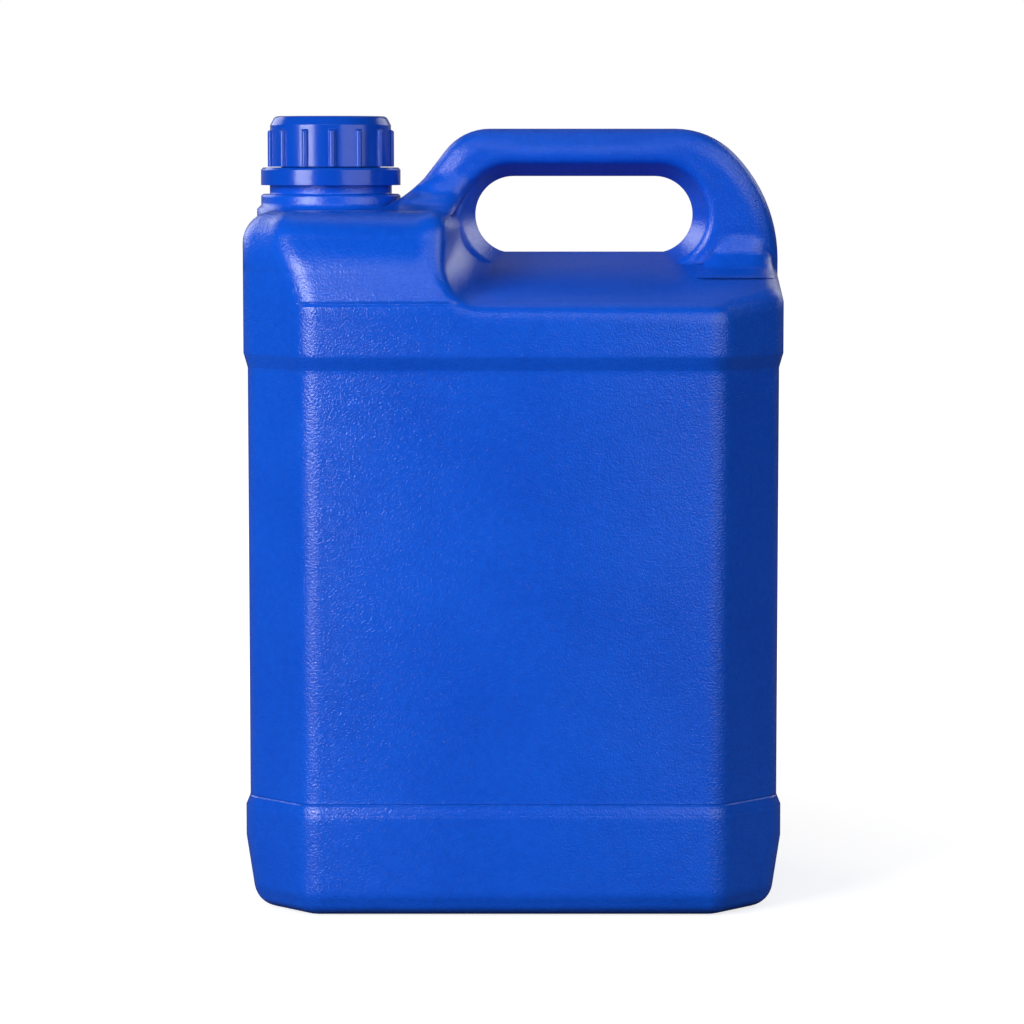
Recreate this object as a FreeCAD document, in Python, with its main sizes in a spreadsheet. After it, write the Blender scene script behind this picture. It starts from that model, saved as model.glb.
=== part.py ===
import FreeCAD, Part
import math
import os
import Sketcher

# Cutting oil jug: a blow-moulded jerrycan of nominal 5 litres with a hollow moulded
# handle and a 38 mm screw cap with a tamper-evident ring.
# Millimetres. +Z is up, the jug faces -Y, the origin is the middle of the foot.

os.makedirs("parts", exist_ok=True)
doc = FreeCAD.newDocument("cutting_oil_jug")
sheet = doc.addObject("Spreadsheet::Sheet", "specs")

SIZES = [
    # moulded container
    ("body_width", 190.0), ("body_depth", 140.0), ("corner_cut", 22.4), ("corner_round", 12.0),
    ("wall", 1.4), ("flat_share", 0.58),
    # lower tank: foot, label panel, band
    ("foot_height", 25.0), ("foot_tuck", 4.2), ("foot_round", 8.8), ("foot_land", 7.0), ("foot_hollow", 2.5),
    ("hollow_round", 28.0), ("hollow_draft", 4.0),
    ("panel_foot", 36.0), ("panel_low", 39.4), ("panel_high", 191.2), ("panel_head", 196.4),
    ("panel_inset", 1.5), ("tank_split", 202.0),
    # shoulder under the neck
    ("shoulder_top", 246.2), ("shoulder_round", 11.5), ("crease_height", 214.1), ("slope_angle", 19.6),
    # roof of the tank and the well round the grip
    ("roof_height", 231.0), ("roof_angle", 14.0),
    ("grip_left", -13.5), ("grip_right", 64.6), ("grip_high", 257.8), ("well_left", -17.4),
    ("well_angle", 6.0), ("well_round", 6.5), ("well_sink", 0.4), ("well_bend", 13.4),
    # handle, and the flare of its two legs over the tank
    ("handle_top", 275.0), ("handle_depth", 34.0), ("grip_angle", 18.0), ("handle_round", 6.5),
    ("rim_round", 4.0), ("leg_foot", -40.6), ("leg_angle", 52.3), ("leg_round", 20.0),
    ("arc_upper", 30.0), ("arc_lower", 54.0),
    ("root_flare", 16.0), ("root_side", 10.5), ("root_width", 19.6), ("root_sink", 0.15),
    ("root_corner", 7.6), ("root_heel", 6.0), ("root_drop", 7.0), ("root_inset", 2.2),
    # neck
    ("neck_place", -66.0), ("collar_radius", 25.2), ("collar_top", 251.6), ("collar_edge", 0.7),
    ("collar_hem", 1.5), ("base_radius", 22.05), ("base_top", 256.3), ("neck_radius", 17.9),
    ("bore_radius", 15.8), ("bead_radius", 19.2), ("bead_low", 258.6), ("bead_high", 260.4),
    ("mouth_height", 276.0),
    # tamper-evident ring
    ("ring_radius", 25.2), ("ring_low", 254.8), ("ring_high", 261.1), ("ring_edge", 0.8),
    ("ring_skirt", 2.6), ("lip_height", 1.3), ("lip_clear", 0.7),
    # cap and liner
    ("seat_clear", 0.3), ("cap_radius", 21.8), ("cap_top", 279.5), ("cap_bore", 19.6),
    ("cap_plate", 1.7), ("cap_bevel", 3.2), ("cap_lean", 28.0), ("cap_round", 2.0),
    ("rib_reach", 1.45), ("rib_width", 2.2), ("rib_top", 274.8), ("rib_drop", 0.9), ("rib_count", 14),
    ("rib_phase", 3.9), ("liner_thick", 1.2), ("liner_clear", 0.6),
]
for row, (alias, value) in enumerate(SIZES, 1):
    sheet.set("A%d" % row, alias)
    sheet.set("B%d" % row, str(value))
    sheet.setAlias("B%d" % row, alias)
doc.recompute()


def spec(alias):
    return float(sheet.get(alias))


def plane_of(body, role):
    return [item for item in body.Origin.OriginFeatures if item.Role == role][0]


def new_sketch(body, name, role, offset=None):
    """A sketch on one of the body's own origin planes, set off from it if asked."""
    sketch = body.newObject("Sketcher::SketchObject", name)
    sketch.AttachmentSupport = [(plane_of(body, role), "")]
    sketch.MapMode = "FlatFace"
    if offset:
        sketch.setExpression("AttachmentOffset.Base.z", offset)
    return sketch


def draw_loop(sketch, corners, arcs=None):
    """Close a loop through the corners, each an (across, up) pair of expressions.

    arcs maps the number of a side to (radius, turn); turn is 1 to the left, -1 to the
    right. A radius of None is a half circle on an upright chord.
    """
    arcs = arcs or {}
    places = [tuple(float(sketch.evalExpression(text)) for text in pair) for pair in corners]
    count = len(corners)
    starts = []
    ends = []
    for side in range(count):
        here = FreeCAD.Vector(*places[side], 0)
        there = FreeCAD.Vector(*places[(side + 1) % count], 0)
        if side not in arcs:
            sketch.addGeometry(Part.LineSegment(here, there), False)
            starts.append((side, 1))
            ends.append((side, 2))
            continue
        radius, turn = arcs[side]
        chord = there - here
        size = chord.Length / 2 if radius is None else float(sketch.evalExpression(radius))
        rise = math.sqrt(max(size ** 2 - (chord.Length / 2) ** 2, 0.0))
        left = FreeCAD.Vector(-chord.y, chord.x, 0).normalize()
        centre = (here + there) * 0.5 + left * rise * turn
        first, last = (here, there) if turn > 0 else (there, here)
        angle = math.atan2(first.y - centre.y, first.x - centre.x)
        sweep = math.atan2(last.y - centre.y, last.x - centre.x) - angle
        circle = Part.Circle(centre, FreeCAD.Vector(0, 0, 1), size)
        sketch.addGeometry(Part.ArcOfCircle(circle, angle, angle + sweep % (2 * math.pi)), False)
        starts.append((side, 1 if turn > 0 else 2))
        ends.append((side, 2 if turn > 0 else 1))
    for side in range(count):
        sketch.addConstraint(Sketcher.Constraint("Coincident", *ends[side], *starts[(side + 1) % count]))
    for side in range(count):
        for kind, value, text in zip(("DistanceX", "DistanceY"), places[side], corners[side]):
            number = sketch.addConstraint(Sketcher.Constraint(kind, *starts[side], value))
            sketch.setExpression("Constraints[%d]" % number, text)
        if side in arcs:
            radius = arcs[side][0]
            if radius is None:
                number = sketch.addConstraint(Sketcher.Constraint("DistanceX", side, 3, places[side][0]))
                sketch.setExpression("Constraints[%d]" % number, corners[side][0])
            else:
                size = float(sketch.evalExpression(radius))
                number = sketch.addConstraint(Sketcher.Constraint("Radius", side, size))
                sketch.setExpression("Constraints[%d]" % number, radius)
    return sketch


def add(body, kind, name, profile=None, **bindings):
    """A feature of the body; text values are expressions, the others are set as they are."""
    feature = body.newObject("PartDesign::" + kind, name)
    if profile is not None:
        feature.Profile = profile
        profile.Visibility = False
    for key, value in bindings.items():
        if isinstance(value, str) and "specs." in value:
            feature.setExpression(key, value)
        else:
            setattr(feature, key, value)
    return feature


def proud_edges(shape, accept):
    """Names of the sharp edges that stand proud of the solid and that accept() takes."""
    names = []
    for number, edge in enumerate(shape.Edges, 1):
        faces = shape.ancestorsOfType(edge, Part.Face)
        if len(faces) != 2 or not accept(edge):
            continue
        middle = edge.valueAt((edge.FirstParameter + edge.LastParameter) / 2)
        normals = [face.normalAt(*face.Surface.parameter(middle)) for face in faces]
        if normals[0].getAngle(normals[1]) < math.radians(8):
            continue
        probe = middle + (normals[0] - normals[1]).normalize() * 0.05
        if not shape.isInside(probe, 1e-4, True):
            names.append("Edge%d" % number)
    return names


def fillet(body, name, feature, accept, radius):
    """Round the proud edges that accept() takes."""
    doc.recompute()
    rounding = body.newObject("PartDesign::Fillet", name)
    rounding.Base = (feature, proud_edges(feature.Shape, accept))
    rounding.setExpression("Radius", radius)
    return rounding


def flats(body, name, feature, accept, radius):
    """The same edges on the inside of the wall: plain flats, where the plastic gathers a little."""
    doc.recompute()
    bevel = body.newObject("PartDesign::Chamfer", name)
    bevel.Base = (feature, proud_edges(feature.Shape, accept))
    bevel.setExpression("Size", "(%s) * specs.flat_share" % radius)
    return bevel


def soften(gap):
    """Rounds for the outside of the moulding, flats for its inside."""
    return flats if "wall" in gap else fillet


def octagon(sketch, inset):
    """Plan of the tank: a rectangle with cut corners, every corner rounded."""
    half_x = "(specs.body_width / 2 - (%s))" % inset
    half_y = "(specs.body_depth / 2 - (%s))" % inset
    cut = "(specs.corner_cut - (2 - sqrt(2)) * (%s))" % inset
    run = "((specs.corner_round - (%s)) * tan(22.5))" % inset
    slant = "(%s * cos(45))" % run
    quarter = [
        (half_x, "%s - %s - %s" % (half_y, cut, run)),
        ("%s - %s" % (half_x, slant), "%s - %s + %s" % (half_y, cut, slant)),
        ("%s - %s + %s" % (half_x, cut, slant), "%s - %s" % (half_y, slant)),
        ("%s - %s - %s" % (half_x, cut, run), half_y),
    ]
    corners = list(quarter)
    corners += [("-(%s)" % x, y) for x, y in reversed(quarter)]
    corners += [("-(%s)" % x, "-(%s)" % y) for x, y in quarter]
    corners += [(x, "-(%s)" % y) for x, y in reversed(quarter)]
    radius = "specs.corner_round - (%s)" % inset
    return draw_loop(sketch, corners, {side: (radius, 1) for side in range(0, 16, 2)})


def sharp_octagon(sketch, inset):
    """The same plan with its corners left sharp, for edges that are rounded later."""
    half_x = "(specs.body_width / 2 - (%s))" % inset
    half_y = "(specs.body_depth / 2 - (%s))" % inset
    cut = "(specs.corner_cut - (2 - sqrt(2)) * (%s))" % inset
    pair = [(half_x, "%s - %s" % (half_y, cut)), ("%s - %s" % (half_x, cut), half_y)]
    corners = list(pair)
    corners += [("-(%s)" % x, y) for x, y in reversed(pair)]
    corners += [("-(%s)" % x, "-(%s)" % y) for x, y in pair]
    corners += [(x, "-(%s)" % y) for x, y in reversed(pair)]
    return draw_loop(sketch, corners)


def rounded_box(sketch, left, right, half, radius):
    """A rectangle from left to right, even about the X axis, with its corners rounded."""
    back = [
        (right, "%s - %s" % (half, radius)),
        ("%s - %s" % (right, radius), half),
        ("%s + %s" % (left, radius), half),
        (left, "%s - %s" % (half, radius)),
    ]
    corners = back + [(x, "-(%s)" % y) for x, y in reversed(back)]
    return draw_loop(sketch, corners, {side: (radius, 1) for side in range(0, 8, 2)})


def lower_tank(tag, gap):
    """Foot with tucked ends and a hollow underneath, recessed label panel and start of the band."""
    body = doc.addObject("PartDesign::Body", tag)
    none = "0 * 1"
    plan = sharp_octagon(new_sketch(body, tag + "_plan", "XY_Plane", gap), gap)
    add(body, "Pad", tag + "_block", plan, Length="specs.panel_foot - 1.4 * (%s)" % gap)
    knee = "(specs.foot_height - (%s))" % gap
    wide = "(specs.body_width / 2 - (%s))" % gap
    tuck = "(specs.foot_tuck * (1 + 2 / specs.foot_height))"
    for name, sign in (("left", "-"), ("right", "")):
        wedge = draw_loop(
            new_sketch(body, "%s_%s" % (tag, name), "XZ_Plane"),
            [("%s%s" % (sign, wide), knee), ("%s(%s - %s)" % (sign, wide, tuck), "-2 - (%s)" % gap),
             ("%s(%s + 5)" % (sign, wide), "-2 - (%s)" % gap), ("%s(%s + 5)" % (sign, wide), knee)])
        cut = add(body, "Pocket", "%s_%s_tuck" % (tag, name), wedge, SideType="Symmetric", Type="ThroughAll")
    brim = spec("panel_foot") - 1
    uprights = fillet(body, tag + "_corners", cut,
                      lambda edge: edge.BoundBox.ZMin < brim and edge.BoundBox.ZLength > 1,
                      "specs.corner_round - (%s)" % gap)
    sole = float(plan.evalExpression(gap))
    soften(gap)(body, tag + "_foot_round", uprights, lambda edge: edge.BoundBox.ZMax < sole + 0.01,
                "specs.foot_round - (%s)" % gap)

    # upright walls, stepped in round the label panel
    levels = [
        ("specs.panel_foot - 0.4 * (%s)" % gap, none),
        ("specs.panel_low - 0.4 * (%s)" % gap, "specs.panel_inset"),
        ("specs.panel_high + 0.4 * (%s)" % gap, "specs.panel_inset"),
        ("specs.panel_head + 0.4 * (%s)" % gap, none),
        ("specs.tank_split", none),
    ]
    sections = []
    for number, (level, inset) in enumerate(levels):
        sketch = new_sketch(body, "%s_level_%d" % (tag, number), "XY_Plane", level)
        octagon(sketch, "(%s) + (%s)" % (gap, inset))
        sections.append(sketch)
    rise = add(body, "AdditiveLoft", tag + "_rise", sections[0], Ruled=True)
    rise.Sections = sections[1:]

    # shallow hollow under the foot, so that the jug stands on a rim
    rings = []
    for name, level, extra in (("sole", "%s - 1" % gap, "-specs.hollow_draft / specs.foot_hollow"),
                               ("roof", "specs.foot_hollow + (%s)" % gap, "specs.hollow_draft")):
        sketch = new_sketch(body, "%s_hollow_%s" % (tag, name), "XY_Plane", level)
        edge = "specs.foot_round + specs.foot_land - (%s) + (%s)" % (gap, extra)
        half_x = "(specs.body_width / 2 - specs.foot_tuck - (%s))" % edge
        half_y = "(specs.body_depth / 2 - (%s))" % edge
        rounded_box(sketch, "-" + half_x, half_x, half_y, "(specs.hollow_round + (%s))" % gap)
        rings.append(sketch)
    hollow = add(body, "SubtractiveLoft", tag + "_hollow", rings[0], Ruled=True)
    hollow.Sections = rings[1:]
    body.Tip = hollow
    return body


def upper_tank(tag, gap):
    """Band, sloping shoulder, roof and the well round the grip."""
    body = doc.addObject("PartDesign::Body", tag)
    plan = sharp_octagon(new_sketch(body, tag + "_plan", "XY_Plane", "specs.tank_split"), gap)
    top = "(specs.shoulder_top - (%s))" % gap
    add(body, "Pad", tag + "_block", plan, Length="%s - specs.tank_split" % top)

    # sloping front and back, each rising from a crease
    face = "(specs.body_depth / 2 - (%s))" % gap
    lean = "specs.slope_angle"
    knee = "(specs.crease_height - (%s) * tan(%s / 2))" % (gap, lean)
    crown = "(%s - (%s + 20 - %s) * tan(%s))" % (face, top, knee, lean)
    outline = [
        ("-(%s)" % face, knee),
        ("-(%s)" % crown, "%s + 20" % top),
        ("-(%s + 20)" % face, "%s + 20" % top),
        ("-(%s + 20)" % face, knee),
    ]
    front = draw_loop(new_sketch(body, tag + "_front", "YZ_Plane"), outline)
    add(body, "Pocket", tag + "_front_cut", front, SideType="Symmetric", Type="ThroughAll")
    mirrored = [("-(%s)" % x, y) for x, y in outline]
    back = draw_loop(new_sketch(body, tag + "_back", "YZ_Plane"), mirrored)
    slopes = add(body, "Pocket", tag + "_back_cut", back, SideType="Symmetric", Type="ThroughAll")

    # upright corners first, so that the rim round the top is one smooth run
    crest = spec("shoulder_top") - float(plan.evalExpression(gap))
    split = spec("tank_split")
    corners = fillet(body, tag + "_corners", slopes,
                     lambda edge: edge.BoundBox.ZMin < crest - 0.01 and edge.BoundBox.ZMax > split + 0.01,
                     "specs.corner_round - (%s)" % gap)
    soften(gap)(body, tag + "_rim", corners, lambda edge: edge.BoundBox.ZMin > crest - 0.01,
                "specs.shoulder_round - (%s)" % gap)

    # pitched roof and funnel round the grip, cut from the front and from the back
    for side, turn in (("fore", 1), ("aft", -1)):
        cut = body.newObject("PartDesign::Boolean", "%s_%s_cut" % (tag, side))
        cut.Type = "Cut"
        cut.setObjects([well(body.Name, side, turn, gap)])
    doc.recompute()
    body.Tip = soften(gap)(body, tag + "_round", cut, lambda edge: edge.BoundBox.ZMax > split + 0.01,
                           "specs.well_round - (%s)" % gap)
    return body


def well(tag, side, turn, gap):
    """Half of the room over the roof: a pitched floor, a flared left wall and a round between them."""
    body = doc.addObject("PartDesign::Body", "%s_%s" % (tag, side))
    far = "(specs.body_depth / 2 + 10)"
    ridge = "(specs.roof_height - (%s) / cos(specs.roof_angle))" % gap
    eaves = "%s - %s * tan(specs.roof_angle)" % (ridge, far)
    left = "(specs.well_left - (%s) / cos(specs.well_angle))" % gap
    flare = "(%s * tan(specs.well_angle))" % far
    floor = draw_loop(
        new_sketch(body, "%s_%s_floor" % (tag, side), "YZ_Plane", "%s - %s" % (left, flare)),
        [("0 * 1", ridge), ("-%s * %d" % (far, turn), eaves),
         ("-%s * %d" % (far, turn), "specs.handle_top"), ("0 * 1", "specs.handle_top")])
    room = add(body, "Pad", "%s_%s_room" % (tag, side), floor, Length="2 * specs.body_width")
    flank = draw_loop(
        new_sketch(body, "%s_%s_flank" % (tag, side), "XY_Plane"),
        [(left, "0 * 1"), ("%s - %s" % (left, flare), "-%s * %d" % (far, turn)),
         ("%s - %s - 5" % (left, flare), "-%s * %d" % (far, turn)),
         ("%s - %s - 5" % (left, flare), "0 * 1")])
    shape = add(body, "Pocket", "%s_%s_flare" % (tag, side), flank, SideType="Symmetric", Type="ThroughAll")
    low = spec("roof_height")
    hem = spec("body_depth") / 4
    body.Tip = fillet(body, "%s_%s_bend" % (tag, side), shape,
                      lambda edge: (edge.BoundBox.ZMax < low + 0.01 and edge.BoundBox.YLength > hem
                                    and edge.BoundBox.XMax < spec("grip_right")),
                      "specs.well_bend + (%s)" % gap)
    return body


def handle(tag, gap):
    """Moulded handle: sloping left leg, level bar and broad right leg, with feet sunk in the tank."""
    body = doc.addObject("PartDesign::Body", tag)
    top = "(specs.handle_top - (%s))" % gap
    side = "(specs.body_width / 2 - (%s))" % gap
    lean = "specs.leg_angle"
    root = "(specs.shoulder_top - 14)"
    foot = "(specs.leg_foot + (%s) / sin(%s) - 14 / tan(%s))" % (gap, lean, lean)
    apex = "(%s + (%s - %s) / tan(%s))" % (foot, top, root, lean)
    bend = "(specs.leg_round - (%s))" % gap
    run = "(%s * tan(%s / 2))" % (bend, lean)
    upper = "(specs.arc_upper - (%s))" % gap
    lower = "(specs.arc_lower - (%s))" % gap
    base = "(specs.roof_height - 18)"
    corners = [
        ("%s - %s * (1 - cos(45)) - %s * sin(45)" % (side, lower, upper), top),
        ("%s + %s" % (apex, run), top),
        ("%s - %s * cos(%s)" % (apex, run, lean), "%s - %s * sin(%s)" % (top, run, lean)),
        (foot, root),
        (foot, base),
        (side, base),
        (side, "%s - %s * (1 - cos(45)) - %s * sin(45)" % (top, upper, lower)),
        ("%s - %s * (1 - cos(45))" % (side, lower), "%s - %s * (1 - cos(45))" % (top, upper)),
    ]
    outline = draw_loop(new_sketch(body, tag + "_outline", "XZ_Plane"), corners,
                        {1: (bend, 1), 6: (lower, 1), 7: (upper, 1)})
    add(body, "Pad", tag + "_slab", outline, SideType="Symmetric",
        Length="specs.handle_depth - 2 * (%s)" % gap)

    # room for the fingers, flared to both faces and open below over the roof of the tank
    left = "(specs.grip_left - (%s))" % gap
    right = "(specs.grip_right + (%s))" % gap
    high = "(specs.grip_high + (%s))" % gap
    low = "(specs.roof_height - specs.well_sink - (%s))" % gap
    radius = "((%s - %s) / 2)" % (high, low)
    reach = "(specs.handle_depth / 2 + 1)"
    rooms = []
    for name, place, wide in (("front", reach, "(%s * tan(specs.grip_angle))" % reach),
                              ("mid", "0 * 1", "(0 * 1)"),
                              ("rear", "-%s" % reach, "(%s * tan(specs.grip_angle))" % reach)):
        room = new_sketch(body, "%s_room_%s" % (tag, name), "XZ_Plane", place)
        draw_loop(room, [
            ("%s + %s" % (left, radius), "%s + %s" % (high, wide)),
            ("%s - %s" % (right, radius), "%s + %s" % (high, wide)),
            ("%s - %s" % (right, radius), "%s - %s" % (low, wide)),
            ("%s - %s" % (right, radius), "%s - 12" % base),
            ("%s + %s" % (left, radius), "%s - 12" % base),
            ("%s + %s" % (left, radius), "%s - %s" % (low, wide)),
        ], {1: (None, -1), 5: (None, -1)})
        rooms.append(room)
    arch = add(body, "SubtractiveLoft", tag + "_arch", rooms[0], Ruled=True)
    arch.Sections = rooms[1:]
    doc.recompute()
    within = well_box()
    outside = soften(gap)(body, tag + "_round", arch,
                     lambda edge: edge.BoundBox.YLength < 0.01 and not within(edge),
                     "specs.handle_round - (%s)" % gap)
    body.Tip = soften(gap)(body, tag + "_rim", outside,
                      lambda edge: edge.BoundBox.YLength < 0.01 and within(edge),
                      "specs.rim_round - (%s)" % gap)
    return body


def well_box():
    """Tells the edges round the fingers from the outer ones, whatever the sizes are."""
    margin = spec("handle_depth") / 2 * math.tan(math.radians(spec("grip_angle"))) + spec("wall") + 1

    def within(edge):
        box = edge.BoundBox
        return (box.XMin > spec("grip_left") - margin and box.XMax < spec("grip_right") + margin
                and box.ZMax < spec("grip_high") + margin)
    return within


def flared(tag, gap, base, left, right, lean, side):
    """Root of a leg, flared out over the tank like the end of a horn."""
    body = doc.addObject("PartDesign::Body", tag)
    last = 75
    tail = "specs.root_flare / 2"
    sections = []
    for number, (angle, run) in enumerate([(0, "0"), (25, "0"), (50, "0"), (last, "0"), (last, tail)]):
        out = "(1 - cos(%d) + %s / specs.root_flare)" % (angle, run)
        rise = "(specs.root_flare * (1 - sin(%d)) - %s / tan(%d))" % (angle, run, last)
        skin = "(%s) * cos(%d)" % (gap, angle)
        sketch = new_sketch(body, "%s_level_%d" % (tag, number), "XY_Plane",
                            "%s + %s - (%s) * sin(%d)" % (base, rise, gap, angle))
        rounded_box(
            sketch,
            "(%s + %s * %s - %s * %s + %s)" % (left, lean, rise, side, out, skin),
            "(%s + %s * %s - (%s))" % (right, lean, rise, gap),
            "(specs.handle_depth / 2 - specs.root_sink + specs.root_flare * %s - %s)" % (out, skin),
            "(specs.root_corner - (%s))" % gap)
        sections.append(sketch)
    horn = add(body, "AdditiveLoft", tag + "_horn", sections[0], Ruled="wall" in gap)
    horn.Sections = sections[1:]
    body.Tip = horn
    return body


def roots(tag, gap):
    """Flared roots of the sloping leg over the shoulder and of the broad leg over the roof."""
    toe = "(specs.leg_foot + 0.5)"
    heel = "(specs.grip_right + specs.handle_depth / 2 * tan(specs.grip_angle))"
    return [
        flared(tag + "_left", gap, "specs.shoulder_top", toe, "(%s + specs.root_width)" % toe,
               "(1 / tan(specs.leg_angle))", "specs.root_side"),
        flared(tag + "_right", gap, "(specs.roof_height - specs.root_drop)", heel,
               "(specs.body_width / 2 - specs.root_inset)", "(0 * 1)", "specs.root_heel"),
    ]


def turned(tag, corners, arcs=None):
    """A body turned about the neck's axis; corners are (radius, height) pairs."""
    body = doc.addObject("PartDesign::Body", tag)
    sketch = new_sketch(body, tag + "_profile", "XZ_Plane")
    sketch.setExpression("AttachmentOffset.Base.x", "specs.neck_place")
    draw_loop(sketch, corners, arcs)
    body.Tip = add(body, "Revolution", tag + "_turn", sketch, ReferenceAxis=(sketch, ["V_Axis"]))
    return body, sketch


# neck: hollow collar, plain base, thread core with its bead, and the mouth
sunk = "specs.shoulder_top - 10"
neck_out, _ = turned("neck_out", [
    ("0 * 1", sunk),
    ("specs.collar_radius + specs.collar_hem", sunk),
    ("specs.collar_radius + specs.collar_hem", "specs.shoulder_top"),
    ("specs.collar_radius", "specs.shoulder_top + specs.collar_hem"),
    ("specs.collar_radius", "specs.collar_top - specs.collar_edge"),
    ("specs.collar_radius - specs.collar_edge", "specs.collar_top"),
    ("specs.base_radius", "specs.collar_top"),
    ("specs.base_radius", "specs.base_top"),
    ("specs.neck_radius", "specs.base_top"),
    ("specs.neck_radius", "specs.bead_low"),
    ("specs.bead_radius", "specs.bead_low"),
    ("specs.neck_radius", "specs.bead_high"),
    ("specs.neck_radius", "specs.mouth_height - 0.8"),
    ("specs.neck_radius - 0.8", "specs.mouth_height"),
    ("0 * 1", "specs.mouth_height"),
])
neck_in, _ = turned("neck_in", [
    ("0 * 1", sunk),
    ("specs.collar_radius - specs.wall", sunk),
    ("specs.collar_radius - specs.wall", "specs.collar_top - specs.wall - 2"),
    ("specs.collar_radius - specs.wall - 2", "specs.collar_top - specs.wall"),
    ("specs.bore_radius + 1", "specs.collar_top - specs.wall"),
    ("specs.bore_radius", "specs.collar_top"),
    ("specs.bore_radius", "specs.mouth_height + 2"),
    ("0 * 1", "specs.mouth_height + 2"),
])

outside = doc.addObject("Part::MultiFuse", "outside")
outside.Shapes = [lower_tank("tank_low", "0 * 1"), upper_tank("tank_up", "0 * 1"),
                  handle("grip", "0 * 1"), neck_out] + roots("root", "0 * 1")
inside = doc.addObject("Part::MultiFuse", "inside")
inside.Shapes = [lower_tank("core_low", "specs.wall"), upper_tank("core_up", "specs.wall"),
                 handle("core_grip", "specs.wall"), neck_in] + roots("core_root", "specs.wall")
bottle = doc.addObject("Part::Cut", "bottle")
bottle.Base = outside
bottle.Tool = inside

# tamper-evident ring: a stepped band trapped under the neck's bead
web = "(specs.base_top + 0.5)"
ring, _ = turned("tamper_ring", [
    ("specs.ring_radius - specs.ring_skirt", "specs.ring_low"),
    ("specs.ring_radius", "specs.ring_low"),
    ("specs.ring_radius", "specs.ring_high - specs.ring_edge"),
    ("specs.ring_radius - specs.ring_edge", "specs.ring_high"),
    ("specs.bead_radius + specs.lip_clear", "specs.ring_high"),
    ("specs.bead_radius + specs.lip_clear", "%s + specs.lip_height" % web),
    ("specs.neck_radius + specs.lip_clear", "%s + specs.lip_height" % web),
    ("specs.neck_radius + specs.lip_clear", web),
    ("specs.ring_radius - specs.ring_skirt", web),
])

# cap: a cup with a bevelled and rounded top edge, and grip ribs
skirt = "(specs.ring_high + specs.seat_clear)"
lid = "(specs.cap_top - specs.cap_plate)"
peak = "(specs.cap_radius - specs.cap_bevel * tan(specs.cap_lean))"
turn = "(specs.cap_round * tan(45 - specs.cap_lean / 2))"
cap, cap_profile = turned("cap", [
    ("specs.cap_bore", skirt),
    ("specs.cap_radius", skirt),
    ("specs.cap_radius", "specs.cap_top - specs.cap_bevel"),
    ("%s + %s * sin(specs.cap_lean)" % (peak, turn), "specs.cap_top - %s * cos(specs.cap_lean)" % turn),
    ("%s - %s" % (peak, turn), "specs.cap_top"),
    ("0 * 1", "specs.cap_top"),
    ("0 * 1", lid),
    ("specs.cap_bore", lid),
], {3: ("specs.cap_round", 1)})
rib_plan = new_sketch(cap, "cap_rib_plan", "XY_Plane", skirt)
rib_plan.setExpression("AttachmentOffset.Base.x", "specs.neck_place")
rib_plan.setExpression("AttachmentOffset.Rotation.Angle", "specs.rib_phase")
half = "(specs.rib_width / 2)"
nose = "(specs.cap_radius + specs.rib_reach - %s)" % half
draw_loop(rib_plan, [
    ("-%s" % half, "-%s" % nose),
    ("0 * 1", "-(%s + %s)" % (nose, half)),
    (half, "-%s" % nose),
    (half, "-(specs.cap_radius - 1)"),
    ("-%s" % half, "-(specs.cap_radius - 1)"),
], {0: (half, 1), 1: (half, 1)})
rib = add(cap, "Pad", "cap_rib", rib_plan, Length="specs.rib_top - %s" % skirt)
ribs = cap.newObject("PartDesign::PolarPattern", "cap_ribs")
ribs.Originals = [rib]
ribs.Axis = (cap_profile, ["V_Axis"])
ribs.Angle = 360
ribs.setExpression("Occurrences", "specs.rib_count")
cap.Tip = ribs
crown_plan = new_sketch(cap, "cap_crown_plan", "XZ_Plane")
crown_plan.setExpression("AttachmentOffset.Base.x", "specs.neck_place")
brow = "(specs.cap_radius + specs.rib_reach + 0.2)"
draw_loop(crown_plan, [
    ("specs.cap_radius", "specs.rib_top"),
    (brow, "specs.rib_top - specs.rib_drop"),
    (brow, "specs.rib_top + 1"),
    ("specs.cap_radius", "specs.rib_top + 1"),
])
cap.Tip = add(cap, "Groove", "cap_crown", crown_plan, ReferenceAxis=(crown_plan, ["V_Axis"]))

# foam liner: a wad loose under the cap's plate
liner, _ = turned("cap_liner", [
    ("0 * 1", "%s - specs.seat_clear - specs.liner_thick" % lid),
    ("specs.cap_bore - specs.liner_clear", "%s - specs.seat_clear - specs.liner_thick" % lid),
    ("specs.cap_bore - specs.liner_clear", "%s - specs.seat_clear" % lid),
    ("0 * 1", "%s - specs.seat_clear" % lid),
])
doc.recompute()

for item in doc.Objects:
    if "Invalid" in item.State or "Error" in item.State:
        raise RuntimeError("%s did not build: %s" % (item.Name, item.State))
for part in (bottle, cap, liner, ring):
    if part.Shape.isNull() or not part.Shape.isValid():
        raise RuntimeError(part.Name + " is not a sound solid")
    part.Shape.exportStep("parts/%s.step" % part.Label)
    print(part.Label, len(part.Shape.Solids), round(part.Shape.Volume, 1), part.Shape.BoundBox)
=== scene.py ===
import bpy
import math
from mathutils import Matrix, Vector


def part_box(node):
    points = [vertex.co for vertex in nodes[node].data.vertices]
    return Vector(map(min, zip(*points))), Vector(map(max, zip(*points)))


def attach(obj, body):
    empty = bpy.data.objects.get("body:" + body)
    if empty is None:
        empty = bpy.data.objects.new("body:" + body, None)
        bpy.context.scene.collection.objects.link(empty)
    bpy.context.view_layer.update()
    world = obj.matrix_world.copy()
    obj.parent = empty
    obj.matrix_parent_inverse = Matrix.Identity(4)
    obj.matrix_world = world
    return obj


# Looks of the cutting oil jug. Metres. The jug stands on Z = 0 and faces -Y, with its neck on the left.

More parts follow.
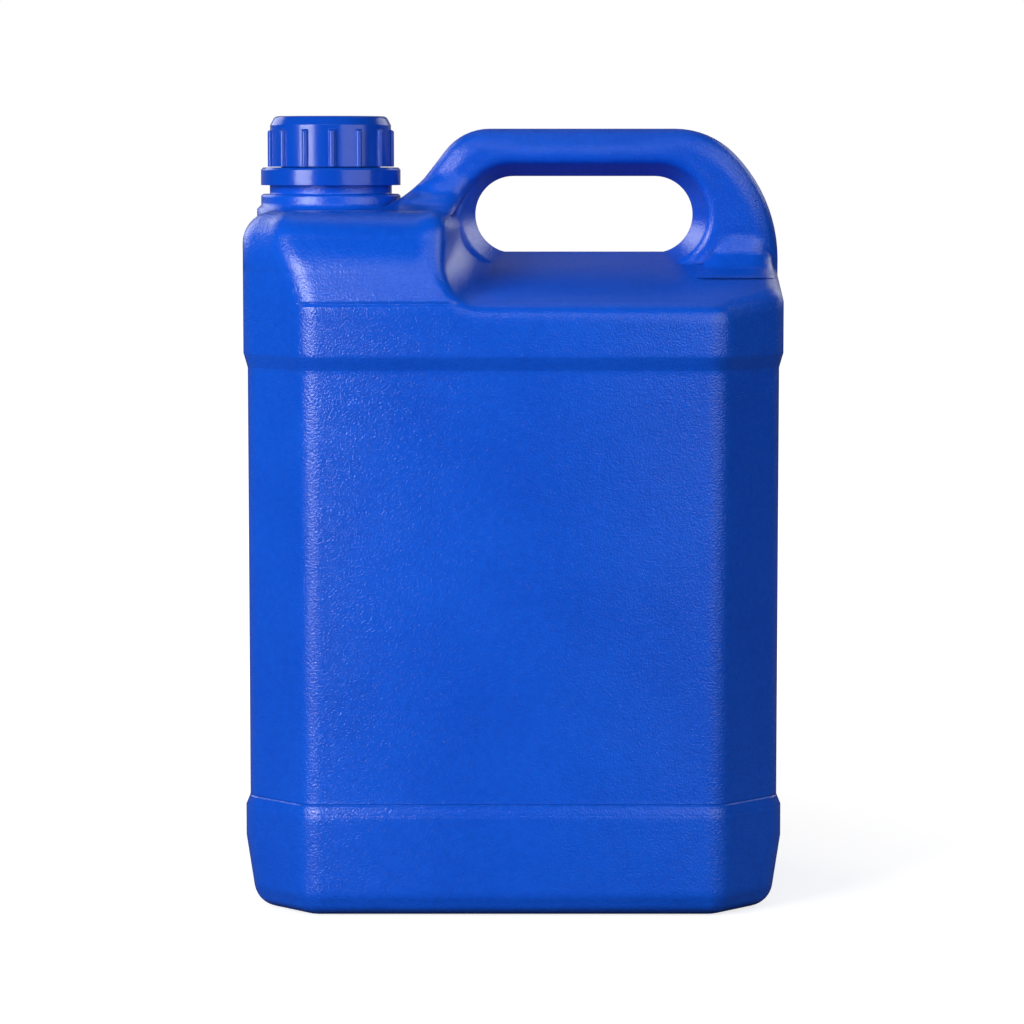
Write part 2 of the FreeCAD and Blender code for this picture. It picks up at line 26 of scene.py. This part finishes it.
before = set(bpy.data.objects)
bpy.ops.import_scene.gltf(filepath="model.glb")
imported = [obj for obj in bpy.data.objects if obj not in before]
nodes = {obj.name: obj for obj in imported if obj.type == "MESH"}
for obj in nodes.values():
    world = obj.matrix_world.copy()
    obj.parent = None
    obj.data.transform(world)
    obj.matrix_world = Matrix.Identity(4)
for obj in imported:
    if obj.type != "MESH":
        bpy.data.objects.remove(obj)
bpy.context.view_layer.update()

# ---------------------------------------------------------------- node helpers


class Tree:
    """A node tree that is built by naming each node's inputs."""

    def __init__(self, tree):
        self.tree = tree
        tree.nodes.clear()

    def add(self, kind, inputs=None, **settings):
        node = self.tree.nodes.new("ShaderNode" + kind)
        for key, value in settings.items():
            setattr(node, key, value)
        for key, value in (inputs or {}).items():
            self.feed(node.inputs[key], value)
        return node

    def feed(self, socket, value):
        if isinstance(value, bpy.types.NodeSocket):
            self.tree.links.new(value, socket)
        else:
            socket.default_value = value

    def maths(self, operation, *values):
        node = self.add("Math", operation=operation)
        for socket, value in zip(node.inputs, values):
            self.feed(socket, value)
        return node.outputs[0]

    def noise(self, place, scale, detail=2.0, rough=0.5, stretch=None):
        if stretch:
            place = self.add("Mapping", {"Vector": place, "Scale": stretch}).outputs[0]
        node = self.add("TexNoise", {"Vector": place, "Scale": scale, "Detail": detail, "Roughness": rough})
        return node.outputs[0]

    def spread(self, value, span, first=0.0, last=1.0, kind="LINEAR"):
        """From first to last while the value crosses the span, and level outside it."""
        node = self.add("MapRange", {"Value": value, "From Min": span[0], "From Max": span[1],
                                     "To Min": first, "To Max": last}, interpolation_type=kind)
        return node.outputs[0]

    def line(self, value, place, half):
        """1 where the value is at the place, down to 0 at half's distance to either side."""
        away = self.maths("ABSOLUTE", self.maths("SUBTRACT", value, place))
        return self.spread(away, (0.0, half), 1.0, 0.0)

    def blend(self, share, first, second):
        node = self.add("Mix", data_type="RGBA")
        self.feed(node.inputs[0], share)
        self.feed(node.inputs[6], first)
        self.feed(node.inputs[7], second)
        return node.outputs[2]

    def bump(self, height, depth, under=None, share=1.0):
        node = self.add("Bump", {"Height": height, "Strength": share, "Distance": depth})
        if under is not None:
            self.feed(node.inputs["Normal"], under)
        return node.outputs[0]


def new_material(name):
    """A material, its tree, and the place on the object that its textures follow."""
    material = bpy.data.materials.new(name)
    material.use_nodes = True
    tree = Tree(material.node_tree)
    return material, tree, tree.add("TexCoord").outputs["Object"]


def finish_material(tree, inputs):
    shader = tree.add("BsdfPrincipled", inputs)
    tree.add("OutputMaterial", {"Surface": shader.outputs[0]})


# ---------------------------------------------------------------- moulded plastic

# Colours are linear. WORN is the roughness that full wear adds, and UNEVEN is how far it wanders anywhere.
JUG_DEEP, JUG_BRIGHT = (0.0022, 0.076, 0.60, 1), (0.0040, 0.098, 0.70, 1)
CAP_DEEP, CAP_BRIGHT = (0.0018, 0.064, 0.52, 1), (0.0024, 0.072, 0.56, 1)
# FOAM_CELL_SHADE is a painted shade for the sunken edges of the foam's cells.
FOAM_SKIN, FOAM_CELL_SHADE, FOAM_DUST = (0.86, 0.86, 0.84, 1), (0.62, 0.63, 0.62, 1), (0.70, 0.68, 0.60, 1)
WORN, UNEVEN = 0.07, 0.03
PLASTIC_IOR = 1.5


def pigment(tree, place, deep, bright):
    """Colour: slow clouds of shade with a little fine mottling."""
    clouds = tree.noise(place, scale=16.0, detail=3.0, rough=0.6)
    mottle = tree.noise(place, scale=420.0, rough=0.6)
    shade = tree.maths("ADD", tree.maths("MULTIPLY", clouds, 0.6), tree.maths("MULTIPLY", mottle, 0.4))
    return tree.blend(tree.spread(shade, (0.36, 0.64)), deep, bright)


def worn_gloss(tree, place, rough):
    """Roughness: rubbed spots and hairline scuffs dull the gloss, and it varies a little all over."""
    rubs = tree.spread(tree.noise(place, scale=55.0, detail=4.0, rough=0.65), (0.55, 0.75))
    scuffs = tree.spread(tree.noise(place, scale=260.0, stretch=(1.0, 1.0, 0.05)), (0.66, 0.72))
    wear = tree.maths("MAXIMUM", tree.maths("MULTIPLY", rubs, 0.5), tree.maths("MULTIPLY", scuffs, 0.25))
    gloss = tree.spread(wear, (0.0, 1.0), rough, rough + WORN)
    flicker = tree.spread(tree.noise(place, scale=900.0), (0.3, 0.7), -UNEVEN, UNEVEN)
    return tree.maths("ADD", gloss, flicker)


def skin(tree, place, edge, wave, peel, grain, bite=1.0):
    """Normal of a moulded skin: soft edges, slow waves, orange peel and spark-eroded grain."""
    surface = tree.add("Bevel", {"Radius": edge}, samples=8).outputs[0]
    surface = tree.bump(tree.noise(place, scale=22.0, detail=1.0, rough=0.4), wave, surface)
    surface = tree.bump(tree.noise(place, scale=210.0), peel, surface)
    pebbles = tree.add("TexVoronoi", {"Vector": place, "Scale": 1450.0, "Smoothness": 0.5},
                       feature="SMOOTH_F1").outputs[0]
    grains = tree.maths("SUBTRACT", tree.noise(place, scale=1600.0, rough=0.6), pebbles)
    surface = tree.bump(grains, grain, surface, bite)
    return tree.bump(tree.noise(place, scale=2800.0, detail=1.0), grain / 4, surface)


def finish_plastic(tree, place, colour, rough, surface):
    finish_material(tree, {"Base Color": colour, "Roughness": worn_gloss(tree, place, rough),
                           "Normal": surface, "IOR": PLASTIC_IOR})


# Where the jug's shading changes, in its own coordinates. A span is crossed from its first value to
# its second: heights over the foot, distances from the plane between front and back, or places across.
HALF_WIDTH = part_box("bottle")[1].x
CREASE_UP, CREASE_HALF = 0.2145, 0.0010
CREASE_DEPTH, CREASE_ACROSS = (0.0672, 0.0692), (-0.016, -0.024)
SHOULDER_UP, SHOULDER_ACROSS = (0.226, 0.254), (-0.034, -0.026)
ROOF_UP, ROOF_DEPTH = (0.212, 0.216), (0.017, 0.066)
BAR_UP, BAR_LEFT, BAR_RIGHT = (0.2470, 0.2750), (-0.012, 0.004), (0.044, 0.060)
BULGE_UP = (0.225, 0.275)
LIP_UP, LEDGE_UP = (0.1915, 0.1962), (0.0362, 0.0392)
CUT_UP, CUT_HALF = 0.0397, 0.0005
NECK_UP, NECK_ACROSS = (0.244, 0.249), (-0.036, -0.042)
EDGE_UP, GRAIN_UP = (0.235, 0.262), (0.200, 0.222)
PARTING_HALF = 0.0005

# Height of each shaded relief where its field is 1, outwards. The field of the bar's hump stays under 1/16.
SHOULDER_FALL, ROOF_FALL, BAR_HUMP = -0.0075, -0.0049, 0.034
NICK_FALL, BULGE_FALL, LIP_STEP, LEDGE_STEP, CUT_FALL = -0.00045, -0.0095, 0.0008, 0.0006, -0.0003
PARTING_RIDGE = 0.00012

# Radius of the shaded edges, and how much of the grain is left high up.
TANK_EDGE, HANDLE_EDGE, NECK_EDGE, CAP_EDGE = 0.0036, 0.0055, 0.0010, 0.0004
HIGH_BITE = 0.72


def swells(tree, across, depth, up, surface):
    """Blown walls swell a little: the shoulder, the roof and the bar of the handle."""
    climb = tree.spread(up, SHOULDER_UP, kind="SMOOTHSTEP")
    surface = tree.bump(climb, SHOULDER_FALL, surface, tree.spread(across, SHOULDER_ACROSS, 1.0, 0.0))

    reach = tree.maths("POWER", tree.spread(depth, ROOF_DEPTH), 2.0)
    roof = tree.maths("MULTIPLY", tree.spread(up, ROOF_UP), tree.spread(across, SHOULDER_ACROSS))
    surface = tree.bump(reach, ROOF_FALL, surface, roof)

    rise = tree.spread(up, BAR_UP)
    hump = tree.maths("POWER", tree.maths("MULTIPLY", rise, tree.maths("SUBTRACT", 1.0, rise)), 2.0)
    bar = tree.maths("MULTIPLY", tree.spread(across, BAR_LEFT), tree.spread(across, BAR_RIGHT, 1.0, 0.0))
    return tree.bump(hump, BAR_HUMP, surface, bar)


def mould_marks(tree, across, depth, up):
    """Height of the bulge of the wide faces, the crease's nick and the recessed panel's two edges."""
    bulge = tree.maths("POWER", tree.spread(tree.maths("ABSOLUTE", across), (0.0, HALF_WIDTH)), 2.0)
    bulge = tree.maths("MULTIPLY", bulge, tree.spread(up, BULGE_UP, 1.0, 0.0))

    # the nick is at the start of the sloping shoulder, on the front and back left of the grip
    nick = tree.maths("MULTIPLY", tree.spread(depth, CREASE_DEPTH), tree.spread(across, CREASE_ACROSS))
    nick = tree.maths("MULTIPLY", tree.line(up, CREASE_UP, CREASE_HALF), nick)

    lip, ledge = tree.spread(up, LIP_UP), tree.spread(up, LEDGE_UP)
    cut = tree.line(up, CUT_UP, CUT_HALF)
    total = 0.0
    for field, height in ((nick, NICK_FALL), (bulge, BULGE_FALL), (lip, LIP_STEP), (ledge, LEDGE_STEP),
                          (cut, CUT_FALL)):
        total = tree.maths("ADD", total, tree.maths("MULTIPLY", field, height))
    return total


def jug_polyethylene():
    """Blown polyethylene with the marks of a mould in two halves."""
    material, tree, place = new_material("jug_polyethylene")
    colour = pigment(tree, place, JUG_DEEP, JUG_BRIGHT)

    # the edges of the tank and of the handle are softer than the neck's, and the grain is fainter high up
    across, side, up = tree.add("SeparateXYZ", {"Vector": place}).outputs
    depth = tree.maths("ABSOLUTE", side)
    neck = tree.maths("MULTIPLY", tree.spread(up, NECK_UP), tree.spread(across, NECK_ACROSS))
    edge = tree.spread(neck, (0.0, 1.0), tree.spread(up, EDGE_UP, TANK_EDGE, HANDLE_EDGE), NECK_EDGE)
    bite = tree.spread(up, GRAIN_UP, 1.0, HIGH_BITE)
    surface = skin(tree, place, edge, wave=0.0005, peel=0.00002, grain=0.00011, bite=bite)

    # parting line of the two halves, on the plane between front and back
    ridge = tree.spread(depth, (0.0, PARTING_HALF), 1.0, 0.0)
    surface = tree.bump(ridge, PARTING_RIDGE, surface)
    colour = tree.blend(tree.maths("MULTIPLY", ridge, 0.25), colour, JUG_BRIGHT)

    surface = swells(tree, across, depth, up, surface)
    surface = tree.bump(mould_marks(tree, across, depth, up), 1.0, surface)
    finish_plastic(tree, place, colour, rough=0.20, surface=surface)
    return material


def closure_polypropylene():
    """Smoother injection-moulded plastic of the cap and the ring."""
    material, tree, place = new_material("closure_polypropylene")
    colour = pigment(tree, place, CAP_DEEP, CAP_BRIGHT)
    surface = skin(tree, place, CAP_EDGE, wave=0.0001, peel=0.00001, grain=0.000004)
    finish_plastic(tree, place, colour, rough=0.19, surface=surface)
    return material


def liner_foam():
    """Expanded polyethylene foam: closed cells cut through by the die, with painted shade where their edges
    sink, and a little dust.
    """
    material, tree, place = new_material("liner_foam_polyethylene")
    cells = tree.add("TexVoronoi", {"Vector": place, "Scale": 1500.0}, feature="F1").outputs[0]
    # painted shade: the foam is darker towards the cells' sunken edges, where the bump sinks
    colour = tree.blend(tree.spread(cells, (0.1, 0.7)), FOAM_SKIN, FOAM_CELL_SHADE)
    dust = tree.noise(place, scale=90.0, detail=3.0, rough=0.6)
    colour = tree.blend(tree.spread(dust, (0.5, 0.8), 0.0, 0.35), colour, FOAM_DUST)
    finish_material(tree, {"Base Color": colour, "Roughness": tree.spread(dust, (0.3, 0.7), 0.78, 0.92),
                           "Normal": tree.bump(cells, -0.00012)})
    return material


BODY = jug_polyethylene()
CAP = closure_polypropylene()
FOAM = liner_foam()

for name, material in (("bottle", BODY), ("tamper_ring", CAP), ("cap", CAP), ("cap_liner", FOAM)):
    for holder in nodes[name].material_slots:
        holder.material = material

# ---------------------------------------------------------------- screw threads

# The neck's thread stands on the neck and the cap's thread in the cap's bore, each with its root sunk a
# little in the wall. STEPS is for one turn, and RUN_OUT is the part of a turn that an end takes to sink in.
PITCH, TURNS, TURN_FROM = 0.0042, 2.25, 20
STEPS = 72
RUN_OUT = 0.125
NECK_RADIUS, CAP_BORE = 0.0179, 0.0196
ROOT_SINK = 0.00005
NECK_CREST_CLEAR, CAP_CREST_CLEAR = 0.0006, 0.0004
OVER_RING = 0.0025


def thread(name, centre, root, crest, foot_half, crest_half, start):
    """A trapezoid thread on a helix, its ends run down into the wall over an eighth of a turn."""
    total = int(STEPS * TURNS)
    points = []
    for step in range(total + 1):
        turned = step / STEPS
        angle = math.radians(TURN_FROM) + turned * 2 * math.pi
        rise = start + PITCH * turned
        tail = min(turned, TURNS - turned) / RUN_OUT
        share = math.sin(min(tail, 1.0) * math.pi / 2)
        tip = root + (crest - root) * share
        for radius, up in ((root, -foot_half), (tip, -crest_half), (tip, crest_half), (root, foot_half)):
            across, side = radius * math.cos(angle), radius * math.sin(angle)
            points.append((centre.x + across, centre.y + side, rise + up))
    quads = []
    for step in range(total):
        here, there = step * 4, step * 4 + 4
        for corner in range(4):
            after = (corner + 1) % 4
            quads.append((here + corner, here + after, there + after, there + corner))
    quads += [(3, 2, 1, 0), tuple(total * 4 + corner for corner in range(4))]
    if crest < root:
        quads = [tuple(reversed(quad)) for quad in quads]
    mesh = bpy.data.meshes.new(name)
    mesh.from_pydata(points, [], quads)
    mesh.validate()
    for face in mesh.polygons:
        face.use_smooth = True
    piece = bpy.data.objects.new(name, mesh)
    bpy.context.scene.collection.objects.link(piece)
    bevel = piece.modifiers.new("edges", "BEVEL")
    bevel.width, bevel.segments = 0.00015, 2
    bevel.limit_method, bevel.angle_limit = "ANGLE", math.radians(25)
    return piece


low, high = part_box("tamper_ring")
axis = Vector(((low.x + high.x) / 2, (low.y + high.y) / 2, 0))
start = high.z + OVER_RING
neck_thread = thread("neck_thread", axis, root=NECK_RADIUS - ROOT_SINK, crest=CAP_BORE - NECK_CREST_CLEAR,
                     foot_half=0.00105, crest_half=0.0005, start=start)
cap_thread = thread("cap_thread", axis, root=CAP_BORE + ROOT_SINK, crest=NECK_RADIUS + CAP_CREST_CLEAR,
                    foot_half=0.00095, crest_half=0.00035, start=start + PITCH / 2)
for piece, body, slot, material in ((neck_thread, "bottle", "body_plastic", BODY),
                                    (cap_thread, "cap", "cap_plastic", CAP)):
    piece.data.materials.append(material)
    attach(piece, body)

# ---------------------------------------------------------------- floor and studio

FLOOR_RADIUS = 9
FLOOR_SIDES = 96
WHITE, PAPER, DARK_FLOOR = (1, 1, 1, 1), (0.50, 0.50, 0.50, 1), (0.06, 0.06, 0.06, 1)
ROOM_LEVEL, WALL_LEVEL = 0.02, 0.22
LIGHT_AIM = Vector((0, 0, 0.15))

angles = [side * 2 * math.pi / FLOOR_SIDES for side in range(FLOOR_SIDES)]
outline = [(FLOOR_RADIUS * math.cos(angle), FLOOR_RADIUS * math.sin(angle), 0) for angle in angles]
floor_mesh = bpy.data.meshes.new("floor")
floor_mesh.from_pydata(outline, [], [tuple(range(FLOOR_SIDES))])
floor = bpy.data.objects.new("floor", floor_mesh)
bpy.context.scene.collection.objects.link(floor)

# pale paper that the camera sees glow, brighter towards the distance and dimmer near the jug as a painted
# shadow round its base, and that the jug sees as a dark floor
paper, tree, place = new_material("white_sweep")
reach = tree.add("VectorMath", {0: place}, operation="LENGTH").outputs["Value"]
seen = tree.add("LightPath").outputs["Is Camera Ray"]
# painted light and shadow: the floor glows, at 0.76 within 0.12 m of the jug's middle and rising to full by
# 0.5 m
painted_glow = tree.maths("MULTIPLY", tree.spread(reach, (0.12, 0.5), 0.76, 1.0), seen)
tone = tree.blend(seen, DARK_FLOOR, PAPER)
finish_material(tree, {"Base Color": tone, "Roughness": 0.7, "Emission Color": WHITE,
                       "Emission Strength": painted_glow})
floor_mesh.materials.append(paper)

# white to the camera, and to the jug a dim room with a paler low wall behind it
world = bpy.data.worlds.new("studio")
bpy.context.scene.world = world
world.use_nodes = True
tree = Tree(world.node_tree)
direction = tree.add("SeparateXYZ", {"Vector": tree.add("TexCoord").outputs["Generated"]}).outputs
behind = tree.spread(direction[1], (0.4, 0.9))
lowly = tree.spread(direction[2], (0.62, 0.40))
room = tree.maths("MULTIPLY", tree.maths("MULTIPLY", behind, lowly), WALL_LEVEL)
room = tree.maths("ADD", room, ROOM_LEVEL)
level = tree.maths("MAXIMUM", room, tree.add("LightPath").outputs["Is Camera Ray"])
backdrop = tree.add("Background", {"Color": WHITE, "Strength": level}).outputs[0]
tree.add("OutputWorld", {"Surface": backdrop})


def softbox(name, azimuth, height, distance, width, tall, power):
    """A soft panel light aimed at the jug's middle. Azimuth 0 is at the front, 90 on the right."""
    lamp = bpy.data.lights.new(name, "AREA")
    lamp.shape, lamp.size, lamp.size_y, lamp.energy = "RECTANGLE", width, tall, power
    panel = bpy.data.objects.new(name, lamp)
    turn = math.radians(azimuth)
    panel.location = (distance * math.sin(turn), -distance * math.cos(turn), height)
    panel.rotation_euler = (LIGHT_AIM - panel.location).to_track_quat("-Z", "Y").to_euler()
    panel.visible_camera = False
    bpy.context.scene.collection.objects.link(panel)


softbox("key", azimuth=-45, height=0.72, distance=1.9, width=1.0, tall=1.1, power=38)
softbox("front", azimuth=-4, height=1.75, distance=1.9, width=1.2, tall=0.5, power=5)
softbox("fill", azimuth=45, height=0.80, distance=2.0, width=2.0, tall=1.4, power=18)
softbox("overhead", azimuth=180, height=1.9, distance=0.9, width=1.4, tall=0.7, power=1.5)
softbox("back left", azimuth=-138, height=0.95, distance=2.0, width=1.2, tall=1.0, power=8)
softbox("back right", azimuth=138, height=0.95, distance=2.0, width=1.2, tall=1.0, power=6)

# ---------------------------------------------------------------- camera and view

LENS, SENSOR = 131.8, 36.0
AIM = Vector((-0.0005, 0, 0.136))
ABOVE = math.radians(5.5)
DISTANCE = 1.367

camera = bpy.data.objects.new("camera", bpy.data.cameras.new("camera"))
camera.data.lens, camera.data.sensor_width = LENS, SENSOR
camera.location = AIM + Vector((0, -math.cos(ABOVE), math.sin(ABOVE))) * DISTANCE
camera.rotation_euler = (AIM - camera.location).to_track_quat("-Z", "Y").to_euler()
bpy.context.scene.collection.objects.link(camera)
bpy.context.scene.camera = camera
bpy.context.scene.view_settings.view_transform = "Standard"
